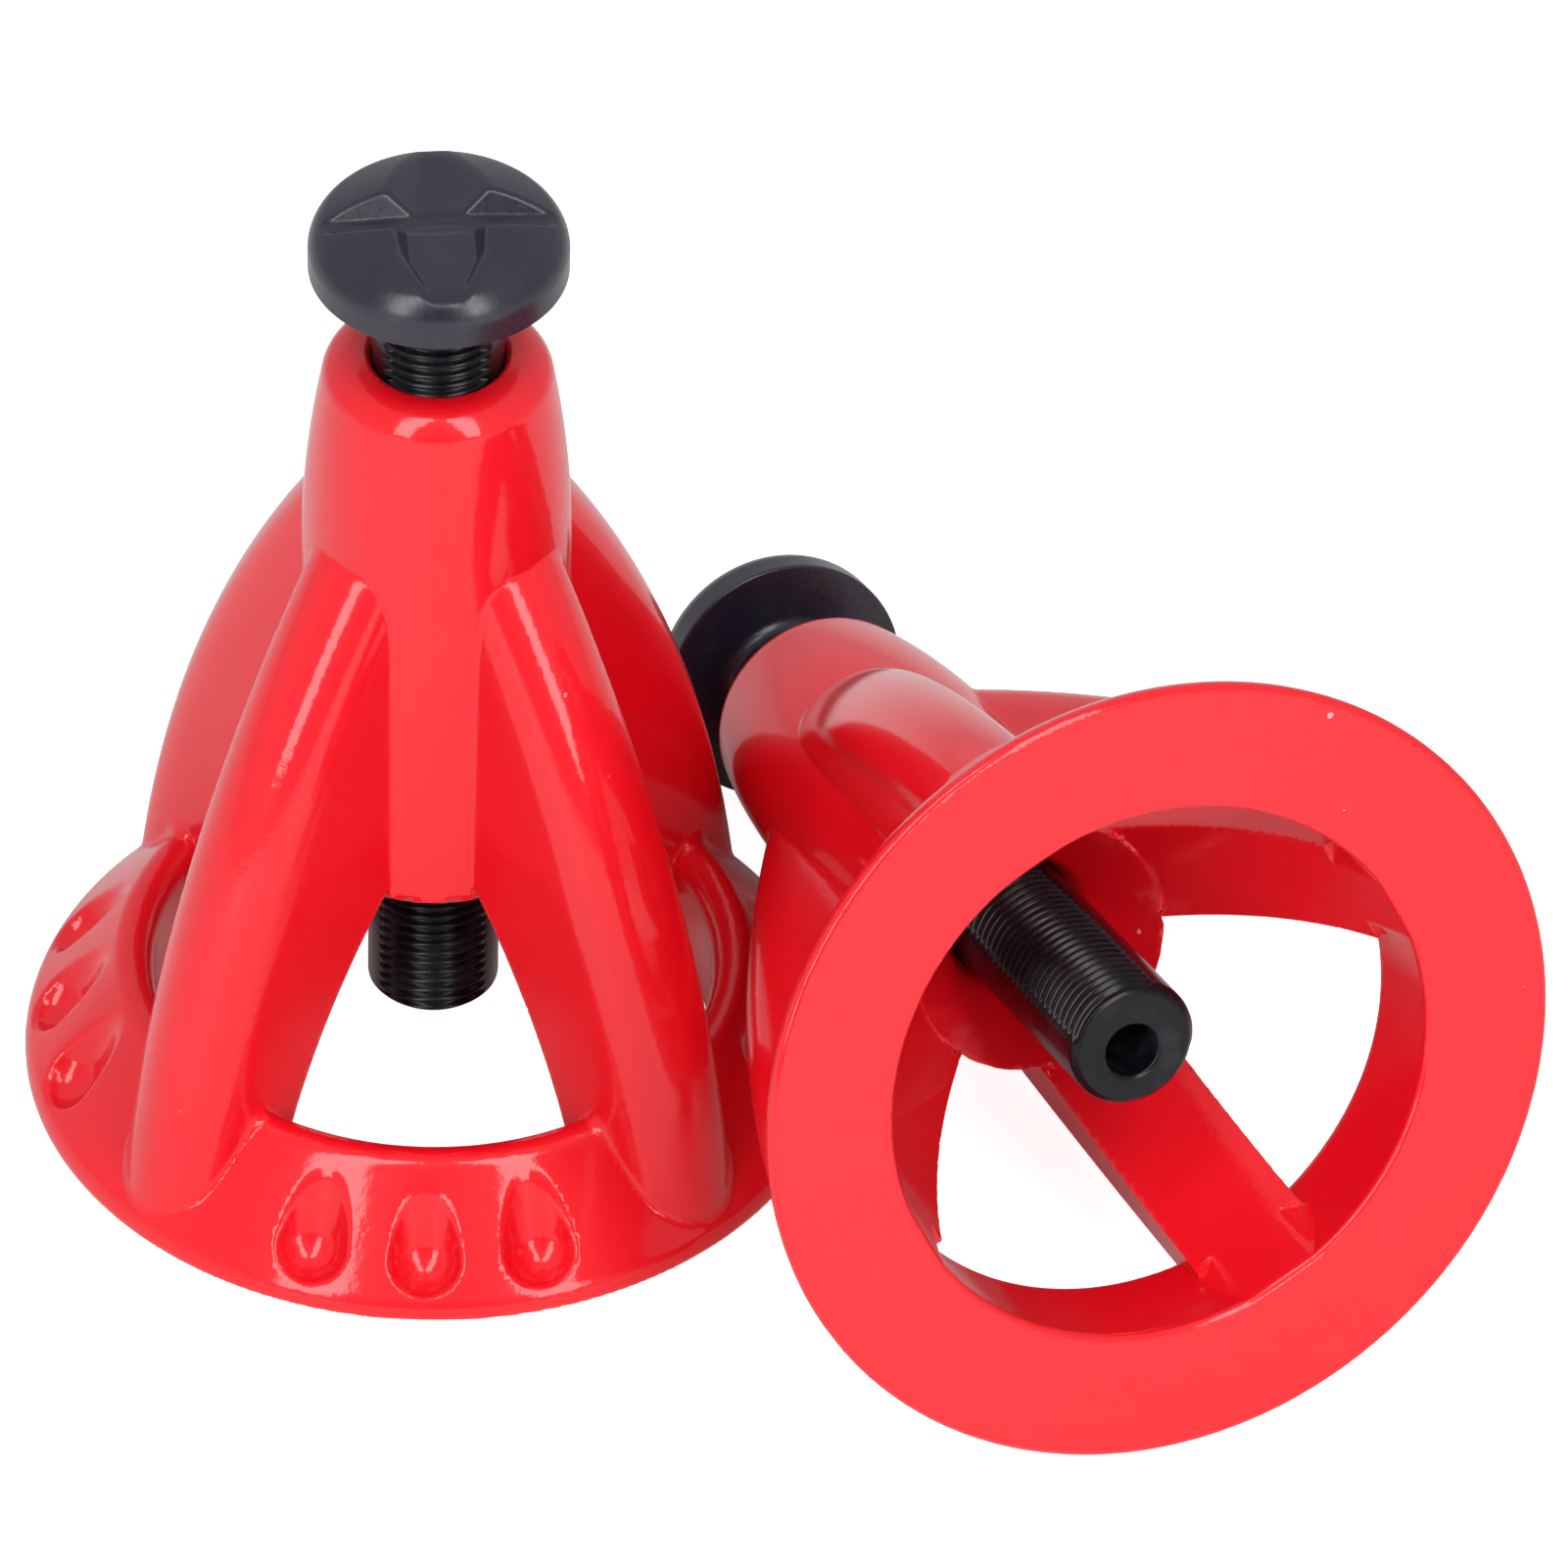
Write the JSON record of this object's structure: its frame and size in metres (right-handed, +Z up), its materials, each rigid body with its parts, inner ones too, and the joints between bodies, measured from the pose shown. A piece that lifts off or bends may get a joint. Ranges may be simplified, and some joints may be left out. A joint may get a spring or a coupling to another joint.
{
  "type": "axle jack stand",
  "caption": "Small screw-type axle stands, upright and lying: a domed, legged base ring with a collar, and a threaded post that turns up and down under a cross-grooved saddle head",
  "frame": {"origin": "middle of the footprint of the pair, on the floor", "axes": "+Z up along the upright stand's screw, +X to the right from the upright stand to the lying one, -Y to the front"},
  "size_m": [0.0922, 0.071, 0.0664],
  "materials": {
    "casting_paint": "gloss red spray paint with slight orange peel over a die casting",
    "thread_black": "satin black moulded thread with light rub marks on the crests",
    "saddle_black": "smooth satin black moulding"
  },
  "bodies": {
    "upright_stand": {"upright_base_ring": "casting_paint", "upright_leg_front_left": "casting_paint", "upright_leg_front_right": "casting_paint", "upright_leg_rear_right": "casting_paint", "upright_leg_rear_left": "casting_paint", "upright_collar": "casting_paint"},
    "upright_post": {"upright_screw_post": "thread_black"},
    "upright_saddle": {"upright_saddle_head": "saddle_black"},
    "lying_stand": {"lying_base_ring": "casting_paint", "lying_leg_lower_right": "casting_paint", "lying_leg_upper_right": "casting_paint", "lying_leg_upper_left": "casting_paint", "lying_leg_lower_left": "casting_paint", "lying_collar": "casting_paint"},
    "lying_post": {"lying_screw_post": "thread_black"},
    "lying_saddle": {"lying_saddle_head": "saddle_black"}
  },
  "joints": [
    {"name": "upright_post_rise", "type": "slide", "parent": "upright_stand", "child": "upright_post", "axis": [0, 0, 1], "range_m": [-0.006, 0.03]},
    {"name": "upright_saddle_turn", "type": "hinge", "parent": "upright_post", "child": "upright_saddle", "pos_m": [-0.02106, 0.00402, 0.06195], "axis": [0, 0, 1], "range_deg": [-2881, 14401]},
    {"name": "lying_stand_lift", "type": "slide", "parent": "upright_stand", "child": "lying_stand", "axis": [0, 0, 1], "range_m": [0, 0.12]},
    {"name": "lying_post_rise", "type": "slide", "parent": "lying_stand", "child": "lying_post", "axis": [-0.381, 0.8846, -0.2691], "range_m": [-0.0043, 0.03]},
    {"name": "lying_saddle_turn", "type": "hinge", "parent": "lying_post", "child": "lying_saddle", "pos_m": [-0.00001, 0.02957, 0.00814], "axis": [-0.381, 0.8846, -0.2691], "range_deg": [-2065, 14401]}
  ],
  "couplings": [
    {"joint": "upright_saddle_turn", "follows": "upright_post_rise", "rad_per_m": 8377.6},
    {"joint": "lying_saddle_turn", "follows": "lying_post_rise", "rad_per_m": 8377.6}
  ]
}
